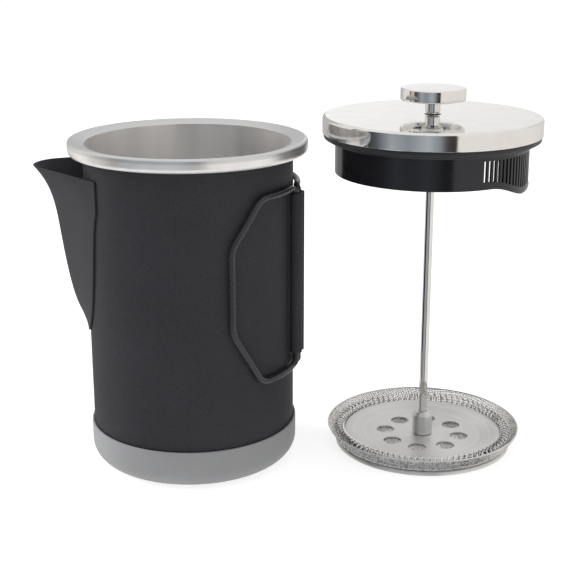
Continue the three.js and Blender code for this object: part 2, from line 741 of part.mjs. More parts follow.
add(plunger, 'knob', knob(), POLISHED_STEEL);
add(plunger, 'knob_neck', knobNeck(), POLISHED_STEEL);
add(plunger, 'rod', rod(), POLISHED_STEEL);
add(plunger, 'hub_nut', hubNut(), BRUSHED_STEEL);
add(plunger, 'spiral_plate', spiralPlate(), BRUSHED_STEEL);
add(plunger, 'coil_spring', coilSpring(), POLISHED_STEEL);
add(plunger, 'mesh_screen', meshScreen(), BRUSHED_STEEL);
add(plunger, 'cross_plate', crossPlate(), BRUSHED_STEEL);
add(plunger, 'clamp_screw', clampScrew(), BRUSHED_STEEL);

export default press;
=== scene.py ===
# A camping French press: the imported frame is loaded, and each of its nodes is replaced by a
# finely made piece. Outlines are in millimetres, about the axis of the body they belong to.
import math

import bmesh
import bpy
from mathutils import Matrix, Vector
from mathutils.geometry import tessellate_polygon


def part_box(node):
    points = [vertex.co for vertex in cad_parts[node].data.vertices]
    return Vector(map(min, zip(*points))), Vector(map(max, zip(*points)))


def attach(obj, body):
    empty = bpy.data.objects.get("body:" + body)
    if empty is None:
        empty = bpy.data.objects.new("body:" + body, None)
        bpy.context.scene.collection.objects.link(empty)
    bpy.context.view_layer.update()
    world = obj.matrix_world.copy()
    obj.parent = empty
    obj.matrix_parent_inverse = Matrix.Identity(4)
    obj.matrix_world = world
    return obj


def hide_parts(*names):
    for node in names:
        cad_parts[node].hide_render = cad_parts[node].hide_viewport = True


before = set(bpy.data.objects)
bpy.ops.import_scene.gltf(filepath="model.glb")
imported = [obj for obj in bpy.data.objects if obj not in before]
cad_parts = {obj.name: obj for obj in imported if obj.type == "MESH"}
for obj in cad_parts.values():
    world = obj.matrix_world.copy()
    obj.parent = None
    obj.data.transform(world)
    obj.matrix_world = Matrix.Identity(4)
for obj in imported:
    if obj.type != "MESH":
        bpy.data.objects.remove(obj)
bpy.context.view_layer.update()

MM = 0.001
QUARTER = math.pi / 2

# Facets and steps of the finished surfaces
LARGE = 192
MEDIUM = 128
SMALL = 64
CORNER_STEPS = 6
SHARP = math.radians(38)
CORNERS = ((-1, -1), (1, -1), (1, 1), (-1, 1))

# ---- sizes taken from the frame


def low(node, axis):
    """The lowest X, Y or Z of a CAD node, in millimetres."""
    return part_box(node)[0]["XYZ".index(axis)] / MM


def high(node, axis):
    """The highest X, Y or Z of a CAD node, in millimetres."""
    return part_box(node)[1]["XYZ".index(axis)] / MM


def middle(node, axis):
    return (low(node, axis) + high(node, axis)) / 2


def radius_of(node):
    return (high(node, "Y") - low(node, "Y")) / 2


POT_AXIS = (0, 0)
PLUNGER_AXIS = (middle("rod", "X"), middle("rod", "Y"))
SEAT = low("flange_ring", "Z")

# Pot
COAT = 0.4  # thickness of the coated skin, outside the steel one
POT_SHEET = 0.9
POT_RADIUS = 50
POT_CORNER = 8.5
POT_FLOOR = low("pot_body", "Z")
RIM_RADIUS = radius_of("pot_body")
RIM_TOP = high("pot_body", "Z")
RIM_BOTTOM = 153.6
RIM_SHOULDER = 1.5  # radius of the crest
RIM_CURL = 2.4  # radius of the edge that turns under
RIM_SLOPE = math.radians(15)
CURL_END = math.radians(-125)
RIM_FILLET = 0.9  # where the wall bends out into the slope
RIM_STEPS = 14
COAT_TOP = 155.2  # where the coated skin ends, under the rim
WINDOW_HALF_WIDTH = 26.5
WINDOW_CORNER = 6
WINDOW_HEIGHTS = (114, 141)

# Boot
BOOT_RADIUS = radius_of("base_boot")
BOOT_TOP = high("base_boot", "Z")
BOOT_CORNER = 9.5
BOOT_RECESS = 0.6  # how deep the middle of its underside lies
FIT = 0.06  # the hairline between two pieces that touch

# Spout
SPOUT_SHEET = 0.9
SPOUT_FOOT = low("spout", "Z")
SPOUT_TOP = high("spout", "Z")
SPOUT_SPARE = 0.6  # how far the lip stays inside the CAD spout
SPOUT_REACH = -low("spout", "X") - SPOUT_SHEET - SPOUT_SPARE
SPOUT_WAIST = (66.2, 110.9)  # reach and height where the lip's flare begins
# How the fold's curve leaves its foot, passes the waist and reaches the lip
FOOT_PULL = Vector((8.6, 0.4))
BULGE_PULL = Vector((3.5, 24.9))
FLARE_PULL = Vector((2.3, 16.7))
LIP_PULL = Vector((8.1, 8.3))
SPOUT_NOSE = 4.5  # radius of the fold
LIP_NOSE = 15  # radius to which the fold opens out at the lip
LIP_START = 0.55  # the share of the spout's length where it begins to
LEVEL_SPREAD = 1.3  # over 1, the levels crowd towards the foot
SPOUT_SEAM = math.radians(47)
SPOUT_LAP = math.radians(2.4)

# Handles and bracket
WIRE_RADIUS = 1.5
PIVOT = (53.2, 2.1)
HANDLE_RADIUS = math.hypot(*PIVOT)
HANDLE_TOP = high("front_handle", "Z") - WIRE_RADIUS
HANDLE_BOTTOM = low("front_handle", "Z") + WIRE_RADIUS
GRIP_HEIGHTS = (76.7, 117.2)
SHOULDER = math.radians(34.3)
GRIP = math.radians(51.6)
WIRE_BEND = 4.5
WIRE_HUG = 1.2  # how much nearer to the pot the wire runs once it has left its leg
HUG_LENGTH = 3  # over which it draws in
WIRE_JOINT = 1  # between the wire's two ends, inside the sleeve
WIRE_FACETS = 24
SLEEVE_LOBE = 3
SLEEVE_ROOT = math.radians(150)  # where a lobe turns in to the pot, round its own bore
SLEEVE_NECK = math.radians(52)  # where it meets the other lobe
SLEEVE_SPREAD = 1.12  # how much wider the foot is than the lobes' roots
SLEEVE_BORE = 1.9

# Lid, with heights above its seat
CAP_RADIUS = radius_of("lid_cap")
CAP_BOTTOM = low("lid_cap", "Z") - SEAT
CAP_TOP = high("lid_cap", "Z") - SEAT
CAP_SHEET = 0.8
CAP_EDGE = 1.5
CAP_DOME = 0.5  # how far the cap's middle stands above its shoulder
FLANGE_RADIUS = radius_of("flange_ring")
FLANGE_STEP_RADIUS = 50.2
FLANGE_STEP = 1.6
FLANGE_TOP = high("flange_ring", "Z") - SEAT
SKIRT_RADIUS = 46.75
SKIRT_WALL = 1.4
SKIRT_DEPTH = 15.2
TAB_DEPTH = SEAT - low("strainer_skirt", "Z")
TAB_FULL = math.radians(8)
TAB_BLEND = math.radians(40)
TAB_DIRECTION = math.radians(-7)
TAB_LIP = 0.45  # how far the tab's edge band stands out
INSERT_RADIUS = 51.6
INSERT_TOP = high("strainer_skirt", "Z") - SEAT
INSERT_STEP = 0.6
SLOT_COUNT = 29
SLOT_PITCH = math.radians(3.2)
SLOT_WIDTH = 1.3
SLOT_MARGIN = 3.4
SLOT_TOP = -2
BUSH_RADIUS = 4
BUSH_FLANGE_RADIUS = 8

# Rod and knob
ROD_RADIUS = radius_of("rod")
BORE = ROD_RADIUS + 0.15  # of every piece on the rod
NECK_RADIUS = radius_of("knob_neck")
NECK_FLARE = 0.9
KNOB_RADIUS = radius_of("knob")
KNOB_BOTTOM = low("knob", "Z")
KNOB_TOP = high("knob", "Z")
KNOB_LIP = 1.6
KNOB_DISH = 1.8
KNOB_BOSS = 5
KNOB_CROWN = 0.15  # how far its middle stands above its edge

# Filter
PLATE_RADIUS = radius_of("cross_plate")
PLATE_TOP = high("cross_plate", "Z")
PLATE_SHEET = 0.8
CROSS_HOLES = ((6, 15, 4.5), (12, 31, 5.2))  # how many, on what radius, each hole's radius
SPIRAL_HOLES = ((8, 19, 4.6),)
SPIRAL_RADIUS = radius_of("spiral_plate")
SPIRAL_BOTTOM = low("spiral_plate", "Z")
SPIRAL_FLAT = 30
SPIRAL_RISE = 2.1
COIL_RING = 42.7
COIL_HEIGHT = middle("coil_spring", "Z")
COIL_RADIUS = 2.2
COIL_WIRE = 0.42
COIL_TURNS = 86
SCREEN_PITCH = 0.92
SCREEN_WIRE = 0.2
SCREEN_BASE = low("mesh_screen", "Z") + SCREEN_WIRE
SCREEN_RIM = high("mesh_screen", "Z")
SCREEN_FLAT = 42
SCREEN_BEND = 4
SCREEN_SLOPE = math.radians(58)
HEM_DEPTH = 0.7
HEM_GAUGE = 0.56
HUB_RADIUS = radius_of("hub_nut")
HUB_BOTTOM = low("hub_nut", "Z")
HUB_TOP = high("hub_nut", "Z")
SCREW_HEAD = 0.75
SCREW_SLOT = (7, 1, 0.45)  # length, width and depth

# Camera, from the pot's axis: turned from the Y axis, and how far back, aside, up and down
CAMERA_TURN = math.radians(13)
CAMERA_BACK = 582.4
CAMERA_ASIDE = 47.5
CAMERA_HEIGHT = 262.77
CAMERA_PITCH = math.radians(16.96)
CAMERA_LENS = 77.22
TOWARDS_CAMERA = Vector((math.sin(CAMERA_TURN), -math.cos(CAMERA_TURN), 0))
RIGHTWARDS = Vector((math.cos(CAMERA_TURN), math.sin(CAMERA_TURN), 0))

# ---- meshes


def smooth(mesh):
    """Closes seams, turns the faces outwards and shades everything smooth but the edges."""
    body = bmesh.new()
    body.from_mesh(mesh)
    bmesh.ops.remove_doubles(body, verts=body.verts, dist=1e-7)
    bmesh.ops.recalc_face_normals(body, faces=body.faces)
    for face in body.faces:
        face.smooth = True
    for edge in body.edges:
        edge.smooth = len(edge.link_faces) == 2 and edge.calc_face_angle() < SHARP
    body.to_mesh(mesh)
    body.free()


def make(name, vertices, faces, axis=POT_AXIS):
    """A mesh object whose origin is on an upright axis."""
    mesh = bpy.data.meshes.new(name)
    mesh.from_pydata([Vector(v) * MM for v in vertices], [], faces)
    piece = bpy.data.objects.new(name, mesh)
    piece.location = (axis[0] * MM, axis[1] * MM, 0)
    bpy.context.collection.objects.link(piece)
    smooth(mesh)
    return piece


def bake(piece):
    """Replaces a piece's mesh by what its modifiers make of it."""
    graph = bpy.context.evaluated_depsgraph_get()
    piece.data = bpy.data.meshes.new_from_object(piece.evaluated_get(graph))
    piece.modifiers.clear()
    smooth(piece.data)
    return piece


def bevel(piece, width, segments=2):
    """Rounds a piece's sharp edges."""
    modifier = piece.modifiers.new("bevel", "BEVEL")
    modifier.width = width * MM
    modifier.segments = segments
    modifier.limit_method = "ANGLE"
    modifier.angle_limit = SHARP
    return bake(piece)


def cut(piece, cutter):
    """Takes a cutter's shape out of a piece, and the cutter away."""
    modifier = piece.modifiers.new("cut", "BOOLEAN")
    modifier.operation = "DIFFERENCE"
    modifier.solver = "EXACT"
    modifier.object = cutter
    bake(piece)
    bpy.data.objects.remove(cutter)
    return piece


def polar(radius, angle, centre=(0, 0)):
    return (centre[0] + radius * math.cos(angle), centre[1] + radius * math.sin(angle))


def outwards(angle):
    """The level direction at an angle round an upright axis."""
    return Vector((*polar(1, angle), 0))


def arc(centre, radius, start, end, steps):
    """Points along an arc, both ends included."""
    angles = [start + (end - start) * i / steps for i in range(steps + 1)]
    return [polar(radius, angle, centre) for angle in angles]


def turn_corner(start, corner, end, steps):
    """Points along a soft bend under a corner, both ends included."""
    shares = [i / steps for i in range(steps + 1)]
    return [start.lerp(corner, t).lerp(corner.lerp(end, t), t) for t in shares]


def rounded(corners, closed=True):
    """An outline in which a corner's third number is the radius that rounds it."""
    points = []
    for i, (x, y, *radius) in enumerate(corners):
        inside = closed or 0 < i < len(corners) - 1
        if not radius or not inside:
            points.append((x, y))
            continue
        here = Vector((x, y))
        before = (Vector(corners[i - 1][:2]) - here).normalized()
        after = (Vector(corners[(i + 1) % len(corners)][:2]) - here).normalized()
        half = before.angle(after) / 2
        centre = here + (before + after).normalized() * radius[0] / math.sin(half)
        first = here + before * radius[0] / math.tan(half) - centre
        last = here + after * radius[0] / math.tan(half) - centre
        start = math.atan2(first.y, first.x)
        sweep = math.remainder(math.atan2(last.y, last.x) - start, 2 * math.pi)
        points += arc(centre, radius[0], start, start + sweep, CORNER_STEPS)
    return points


def lathe(name, outline, axis=POT_AXIS, facets=LARGE, lift=0):
    """Turns an outline of radius and height about an upright axis. An outline that stays
    off the axis closes into a ring."""
    vertices = []
    rings = []
    for radius, height in outline:
        first = len(vertices)
        if radius == 0:
            vertices.append((0, 0, height + lift))
            rings.append([first] * facets)
            continue
        for i in range(facets):
            angle = 2 * math.pi * i / facets
            vertices.append((*polar(radius, angle), height + lift))
        rings.append(list(range(first, first + facets)))
    if outline[0][0] > 0:
        rings.append(rings[0])
    faces = []
    for lower, upper in zip(rings, rings[1:]):
        for i in range(facets):
            j = (i + 1) % facets
            faces.append(list(dict.fromkeys((lower[i], lower[j], upper[j], upper[i]))))
    return make(name, vertices, [face for face in faces if len(face) > 2], axis)


def oblong(inner, outer, bottom, top, edge):
    """An outline with four rounded corners, for a plain ring or a block."""
    corners = [(inner, bottom), (outer, bottom), (outer, top), (inner, top)]
    return rounded([(*corner, edge) for corner in corners])


def walls(first, count, step):
    """The faces between a loop of corners and its copy, a step further on."""
    pairs = [(first + i, first + (i + 1) % count) for i in range(count)]
    return [[a, b, b + step, a + step] for a, b in pairs]


def extrude(name, loops, bottom, top, axis=POT_AXIS):
    """A flat outline, with any further loops as its holes, drawn up between two heights."""
    flat = [point for loop in loops for point in loop]
    count = len(flat)
    caps = tessellate_polygon([[Vector((x, y, 0)) for x, y in loop] for loop in loops])
    vertices = [(x, y, z) for z in (bottom, top) for x, y in flat]
    faces = [list(face) for face in caps]
    faces += [[corner + count for corner in face] for face in caps]
    first = 0
    for loop in loops:
        faces += walls(first, len(loop), count)
        first += len(loop)
    return make(name, vertices, faces, axis)


def bars(rings, bottom, top, axis):
    """Upright bars that cut rings of holes, all in one object."""
    vertices = []
    faces = []
    for count, radius, hole in rings:
        for i in range(count):
            angle = 2 * math.pi * i / count
            outline = arc(polar(radius, angle), hole, 0, 2 * math.pi, SMALL)[:-1]
            first = len(vertices)
            vertices += [(x, y, z) for z in (bottom, top) for x, y in outline]
            faces.append(list(range(first, first + SMALL)))
            faces.append(list(range(first + SMALL, first + 2 * SMALL)))
            faces += walls(first, SMALL, SMALL)
    return make("cutter", vertices, faces, axis)


def sheet(outer, inner):
    """The closed sheet between two grids of points, as vertices and faces."""
    rows = len(outer)
    columns = len(outer[0])
    vertices = [point for grid in (outer, inner) for row in grid for point in row]

    def corner(side, row, column):
        return (side * rows + row) * columns + column

    faces = []

    def face(*corners):
        faces.append([corner(*place) for place in corners])

    for side in (0, 1):
        for row in range(rows - 1):
            for i in range(columns - 1):
                face((side, row, i), (side, row, i + 1), (side, row + 1, i + 1), (side, row + 1, i))
    for row in (0, rows - 1):
        for i in range(columns - 1):
            face((0, row, i), (0, row, i + 1), (1, row, i + 1), (1, row, i))
    for i in (0, columns - 1):
        for row in range(rows - 1):
            face((0, row, i), (0, row + 1, i), (1, row + 1, i), (1, row, i))
    return vertices, faces


def tube(points, normals, radius, sides, closed=False):
    """A round wire through points, as vertices and faces. Each normal stands across the
    wire at its point."""
    vertices = []
    faces = []
    count = len(points)
    for i, (point, normal) in enumerate(zip(points, normals)):
        before = points[i - 1] if closed or i else point
        after = points[(i + 1) % count] if closed or i < count - 1 else point
        across = (after - before).cross(normal).normalized()
        for k in range(sides):
            angle = 2 * math.pi * k / sides
            offset = normal * math.cos(angle) + across * math.sin(angle)
            vertices.append(point + offset * radius)
    for i in range(count if closed else count - 1):
        here = i * sides
        there = (i + 1) % count * sides
        for k in range(sides):
            j = (k + 1) % sides
            faces.append([here + k, here + j, there + j, there + k])
    if not closed:
        faces.append(list(range(sides)))
        faces.append(list(range(len(vertices) - sides, len(vertices))))
    return vertices, faces


def curve(start, start_pull, end_pull, end, share):
    """A point along a cubic curve."""
    rest = 1 - share
    return (
        start * rest ** 3 + start_pull * 3 * rest ** 2 * share
        + end_pull * 3 * rest * share ** 2 + end * share ** 3
    )


def smoothstep(value, start, end):
    """Rises from 0 at the start to 1 at the end, softly at both."""
    share = min(max((value - start) / (end - start), 0), 1)
    return share * share * (3 - 2 * share)


# ---- materials


class Nodes:
    """Short ways to add nodes to a tree, each fed by plain values or by other nodes."""

    def __init__(self, tree):
        self.tree = tree

    def add(self, kind, **settings):
        node = self.tree.nodes.new("ShaderNode" + kind)
        for name, value in settings.items():
            setattr(node, name, value)
        return node

    def feed(self, node, name, value):
        """Links an output to a node's input, or sets the input to a plain value."""
        if isinstance(value, bpy.types.NodeSocket):
            self.tree.links.new(value, node.inputs[name])
        else:
            node.inputs[name].default_value = value

    def math(self, operation, first, second=0.0):
        node = self.add("Math", operation=operation)
        self.feed(node, 0, first)
        self.feed(node, 1, second)
        return node.outputs[0]

    def vector(self, operation, first, second=(0, 0, 0)):
        node = self.add("VectorMath", operation=operation)
        self.feed(node, 0, first)
        self.feed(node, 1, second)
        return node.outputs["Value" if operation in ("LENGTH", "DOT_PRODUCT") else "Vector"]

    def height(self, place):
        node = self.add("SeparateXYZ")
        self.feed(node, 0, place)
        return node.outputs["Z"]

    def spread(self, value, low_in, high_in, low_out, high_out, interpolation="LINEAR"):
        node = self.add("MapRange", interpolation_type=interpolation)
        for name, number in zip(
            ("Value", "From Min", "From Max", "To Min", "To Max"),
            (value, low_in, high_in, low_out, high_out),
        ):
            self.feed(node, name, number)
        return node.outputs["Result"]

    def blend(self, share, first, second):
        """Mixes two colours, each a plain one or another node's."""
        node = self.add("Mix", data_type="RGBA")
        self.feed(node, 0, share)
        for slot, color in ((6, first), (7, second)):
            self.feed(node, slot, color if isinstance(color, bpy.types.NodeSocket) else (*color, 1))
        return node.outputs[2]


class Finish(Nodes):
    """A procedural material on the principled shader."""

    def __init__(self, name, color, roughness, metallic=0.0):
        self.material = bpy.data.materials.new(name)
        self.material.use_nodes = True
        super().__init__(self.material.node_tree)
        self.shader = self.tree.nodes["Principled BSDF"]
        self.set(**{"Base Color": (*color, 1), "Roughness": roughness, "Metallic": metallic})
        self.place = self.add("TexCoord").outputs["Object"]

    def set(self, **values):
        for name, value in values.items():
            self.shader.inputs[name].default_value = value

    def brush_round(self, amount):
        """Stretches highlights the way that marks running round an upright axis do."""
        self.set(**{"Anisotropic": amount, "Anisotropic Rotation": 0.25})
        tangent = self.add("Tangent", direction_type="RADIAL", axis="Z")
        self.feed(self.shader, "Tangent", tangent.outputs[0])

    def noise(self, scale, detail=2.0, where=None):
        """Noise with about that many spots in a millimetre."""
        node = self.add("TexNoise")
        self.feed(node, "Vector", where or self.place)
        self.feed(node, "Scale", scale / MM)
        self.feed(node, "Detail", detail)
        return node.outputs["Fac"]

    def turned(self, drift):
        """Radius and height, so that marks run round the piece, with a slow drift."""
        join = self.add("CombineXYZ")
        self.feed(join, 0, self.vector("LENGTH", self.vector("MULTIPLY", self.place, (1, 1, 0))))
        self.feed(join, 1, self.height(self.place))
        slow = self.vector("MULTIPLY", self.place, (drift,) * 3)
        return self.vector("ADD", join.outputs[0], slow)

    def mottle(self, signal, low, high, first, second, most=1):
        """Goes from the first colour to the second as a signal rises from low to high."""
        return self.blend(self.spread(signal, low, high, 0, most), first, second)

    def colour(self, value):
        self.feed(self.shader, "Base Color", value)

    def rough(self, value):
        self.feed(self.shader, "Roughness", value)

    def bumps(self, *layers):
        """Stacks bumps, each a height signal and its depth in millimetres."""
        normal = None
        for height, depth in layers:
            node = self.add("Bump")
            self.feed(node, "Height", height)
            self.feed(node, "Distance", depth * MM)
            if normal:
                self.feed(node, "Normal", normal)
            normal = node.outputs["Normal"]
        self.feed(self.shader, "Normal", normal)


def powder_coat(name="powder_coat", shine=0.18, roughness=(0.52, 0.7), peel_depth=0.09):
    """Matt charcoal powder coat: orange peel, fine grain and a few pale flecks, with painted shade
    in the peel's hollows.
    """
    coat = Finish(name, (0.03, 0.03, 0.034), 0.6)
    coat.set(**{"Specular IOR Level": shine})
    peel = coat.noise(0.9, 3)
    grain = coat.noise(3.2, 2)
    cloud = coat.noise(0.03, 3)
    base = coat.mottle(cloud, 0.3, 0.7, (0.0258, 0.0252, 0.0305), (0.0315, 0.0308, 0.037))
    speckled = coat.mottle(grain, 0.56, 0.72, base, (0.07, 0.069, 0.077), 0.75)
    # painted shade: the colour darkens towards near black where the peel is low, in its hollows
    coat.colour(coat.mottle(peel, 0.42, 0.3, speckled, (0.014, 0.014, 0.016), 0.4))
    coat.rough(coat.spread(grain, 0.3, 0.7, *roughness))
    coat.bumps((peel, peel_depth), (grain, peel_depth / 3))
    return coat.material


def brushed_steel():
    """Satin stainless steel with fine marks running round the turned pieces."""
    steel = Finish("brushed_steel", (0.72, 0.72, 0.72), 0.46, 0.85)
    steel.brush_round(0.75)
    around = steel.turned(0.012)
    fine = steel.noise(4.5, 2, around)
    broad = steel.noise(0.5, 3, around)
    smudge = steel.noise(0.05, 3)
    tone = steel.mottle(broad, 0.3, 0.7, (0.69, 0.688, 0.688), (0.77, 0.766, 0.764))
    steel.colour(steel.mottle(fine, 0.6, 0.75, tone, (0.6, 0.597, 0.595), 0.5))
    steel.rough(steel.spread(steel.math("ADD", fine, smudge), 0.7, 1.3, 0.4, 0.52))
    steel.bumps((fine, 0.012), (broad, 0.02))
    return steel.material


def drawn_steel():
    """The pot's own steel: satin, with soft upright streaks, duller on the rim's slope; below the
    slope the inside wall is painted brighter, as painted light.
    """
    steel = Finish("drawn_steel", (0.8, 0.8, 0.8), 0.46, 0.85)
    steel.brush_round(0.6)
    streaks = steel.noise(0.09, 3, steel.vector("MULTIPLY", steel.place, (1, 1, 0.04)))
    fine = steel.noise(4.5, 2, steel.turned(0.012))
    # painted light: the inside wall's colour is painted brighter than plain steel, for light that
    # falls into the pot
    inside = steel.mottle(streaks, 0.35, 0.65, (0.86, 0.845, 0.835), (0.96, 0.945, 0.935))
    slope_foot = RIM_TOP - (RIM_RADIUS - POT_RADIUS) * math.tan(RIM_SLOPE)
    start = (slope_foot - RIM_FILLET) * MM
    height = steel.height(steel.place)
    # the painted-bright inside below the rim's slope, the duller plain steel tone on the slope
    tone = steel.mottle(height, start, slope_foot * MM, inside, (0.68, 0.68, 0.685))
    steel.colour(steel.mottle(fine, 0.6, 0.75, tone, (0.62, 0.62, 0.62), 0.3))
    steel.rough(steel.spread(fine, 0.35, 0.65, 0.3, 0.42))
    steel.bumps((fine, 0.012), (streaks, 0.15))
    return steel.material


def wire_cloth():
    """Bright woven wire, with painted sparkle: its colour swings between dark and bright across the
    cloth, as painted glints and shade on the strands.
    """
    cloth = Finish("wire_cloth", (0.7, 0.69, 0.68), 0.3, 1.0)
    strand = cloth.noise(0.8, 2)
    patch = cloth.noise(0.12, 3)
    # painted glints and shade: dark to bright colour from spot to spot
    tone = cloth.mottle(strand, 0.38, 0.62, (0.42, 0.41, 0.4), (0.95, 0.94, 0.92))
    cloth.colour(cloth.mottle(patch, 0.4, 0.7, tone, (0.68, 0.67, 0.66), 0.4))
    cloth.rough(cloth.spread(strand, 0.35, 0.65, 0.22, 0.4))
    cloth.bumps((strand, 0.03))
    return cloth.material


def polished_steel():
    """Mirror-polished stainless steel with faint turning marks and handling smudges."""
    steel = Finish("polished_steel", (0.84, 0.83, 0.815), 0.06, 1.0)
    marks = steel.noise(3, 2, steel.turned(0.004))
    smudge = steel.noise(0.12, 4)
    ripple = steel.noise(0.035, 1)
    steel.colour(steel.mottle(smudge, 0.4, 0.7, (0.85, 0.84, 0.825), (0.8, 0.79, 0.775)))
    steel.rough(steel.spread(smudge, 0.35, 0.75, 0.045, 0.12))
    steel.bumps((marks, 0.0008), (ripple, 0.02))
    return steel.material


def silicone():
    """Matt grey silicone with a fine moulded grain and a little dust."""
    rubber = Finish("silicone", (0.275, 0.277, 0.282), 0.72)
    rubber.set(**{"Specular IOR Level": 0.35, "Sheen Weight": 0.12, "Sheen Roughness": 0.5})
    grain = rubber.noise(3.5, 2)
    cloud = rubber.noise(0.04, 3)
    dust = rubber.noise(1.1, 4)
    tone = rubber.mottle(cloud, 0.3, 0.7, (0.268, 0.27, 0.276), (0.29, 0.292, 0.297))
    rubber.colour(rubber.mottle(dust, 0.62, 0.78, tone, (0.4, 0.4, 0.4), 0.5))
    rubber.rough(rubber.spread(grain, 0.3, 0.7, 0.64, 0.8))
    rubber.bumps((grain, 0.02), (cloud, 0.08))
    return rubber.material


COOL_GLOSS = (0.86, 0.9, 1, 1)


def black_plastic():
    """Glossy moulded black plastic: slight flow ripples, hairline scuffs and dust."""
    black = (0.009, 0.009, 0.01)
    plastic = Finish("black_plastic", black, 0.14)
    plastic.set(**{"Specular IOR Level": 0.55, "Specular Tint": COOL_GLOSS})
    ripple = plastic.noise(0.05, 1)
    scuff = plastic.noise(2.5, 2, plastic.turned(0.05))
    dust = plastic.noise(1.6, 3)
    plastic.colour(plastic.mottle(dust, 0.68, 0.8, black, (0.05, 0.05, 0.05), 0.4))
    plastic.rough(plastic.spread(scuff, 0.45, 0.75, 0.12, 0.26))
    plastic.bumps((ripple, 0.06), (scuff, 0.0015))
    return plastic.material


def black_gasket():
    """Satin black moulded plastic with a fine spark-eroded grain."""
    gasket = Finish("black_gasket", (0.016, 0.016, 0.017), 0.42)
    gasket.set(**{"Specular Tint": COOL_GLOSS})
    grain = gasket.noise(4, 2)
    cloud = gasket.noise(0.06, 3)
    gasket.colour(gasket.mottle(cloud, 0.3, 0.7, (0.014, 0.014, 0.015), (0.022, 0.022, 0.023)))
    gasket.rough(gasket.spread(grain, 0.3, 0.7, 0.34, 0.5))
    gasket.bumps((grain, 0.012))
    return gasket.material


MATERIALS = {build.__name__: build() for build in (
    powder_coat, brushed_steel, polished_steel, silicone, black_plastic, black_gasket,
)}
DRAWN_STEEL = drawn_steel()
WIRE_CLOTH = wire_cloth()
GLOSSY_COAT = powder_coat("glossy_coat", 0.38, (0.2, 0.3), 0.02)


def dress(piece, body, slot, *nodes, finish=None):
    """Gives a piece its finish, the body it moves with and the CAD nodes it stands for."""
    piece.data.materials.clear()
    piece.data.materials.append(finish or MATERIALS[slot])
    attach(piece, body)
    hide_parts(*nodes)
    return piece


def turn_piece(node, outline, body, slot, facets=SMALL, lift=0):
    """A piece turned about the plunger's axis, dressed as the node it stands for."""
    dress(lathe(node, outline, PLUNGER_AXIS, facets, lift), body, slot, node)


# ---- camera


def make_camera():
    camera = bpy.data.objects.new("camera", bpy.data.cameras.new("camera"))
    camera.data.lens = CAMERA_LENS
    camera.location = (TOWARDS_CAMERA * CAMERA_BACK + RIGHTWARDS * CAMERA_ASIDE) * MM
    camera.location.z = CAMERA_HEIGHT * MM
    camera.rotation_euler = (QUARTER - CAMERA_PITCH, 0, CAMERA_TURN)
    bpy.context.collection.objects.link(camera)
    bpy.context.scene.camera = camera


# ---- pot


def window_cutter():
    """The pouring window, as a block through the pot's wall."""
    bottom, top = WINDOW_HEIGHTS
    outline = oblong(-WINDOW_HALF_WIDTH, WINDOW_HALF_WIDTH, bottom, top, WINDOW_CORNER)
    near = -POT_RADIUS / 2
    far = -2 * POT_RADIUS
    count = len(outline)
    vertices = [(x, y, z) for x in (near, far) for y, z in outline]
    faces = [list(range(count)), list(range(count, 2 * count)), *walls(0, count, count)]
    return make("cutter", vertices, faces)


def pot_coat():
    """The coated outer skin, up to the underside of the rolled rim."""
    corner = (POT_RADIUS - POT_CORNER, POT_FLOOR + POT_CORNER)
    outline = [
        (0, POT_FLOOR),
        *arc(corner, POT_CORNER, -QUARTER, 0, 2 * CORNER_STEPS),
        (POT_RADIUS, COAT_TOP),
        (POT_RADIUS - COAT, COAT_TOP),
        *arc(corner, POT_CORNER - COAT, 0, -QUARTER, 2 * CORNER_STEPS),
        (0, POT_FLOOR + COAT),
    ]
    dress(cut(lathe("pot_coat", outline), window_cutter()), "pot", "powder_coat", "pot_body")


def rim(depth):
    """The rim's outline from the wall to its end, at a depth below the sheet's upper face."""
    wall = POT_RADIUS - POT_SHEET + depth
    shoulder = (RIM_RADIUS - RIM_SHOULDER, RIM_TOP - RIM_SHOULDER)
    curl = (RIM_RADIUS - RIM_CURL, RIM_BOTTOM + RIM_CURL)
    bend = arc(shoulder, RIM_SHOULDER - depth, QUARTER + RIM_SLOPE, 0, RIM_STEPS)
    foot = Vector((wall, bend[0][1] - (bend[0][0] - wall) * math.tan(RIM_SLOPE)))
    pull = RIM_FILLET * math.tan((QUARTER - RIM_SLOPE) / 2)
    start = foot - Vector((0, pull))
    end = foot.lerp(Vector(bend[0]), pull / (Vector(bend[0]) - foot).length)
    fillet = turn_corner(start, foot, end, RIM_STEPS)
    return [*map(tuple, fillet), *bend, *arc(curl, RIM_CURL - depth, 0, CURL_END, 2 * RIM_STEPS)]


def pot_liner():
    """The bare steel inside, whose wall runs up into the rolled rim."""
    corner = (POT_RADIUS - POT_CORNER, POT_FLOOR + POT_CORNER)
    sheet_gauge = POT_SHEET - COAT - FIT
    skin = POT_CORNER - COAT - FIT
    outline = [
        (0, POT_FLOOR + POT_CORNER - skin),
        *arc(corner, skin, -QUARTER, 0, 2 * CORNER_STEPS),
        *rim(sheet_gauge),
        *reversed(rim(0)),
        *arc(corner, POT_CORNER - POT_SHEET, 0, -QUARTER, 2 * CORNER_STEPS),
        (0, POT_FLOOR + POT_SHEET),
    ]
    liner = cut(lathe("pot_liner", outline), window_cutter())
    dress(liner, "pot", "brushed_steel", "pot_body", finish=DRAWN_STEEL)


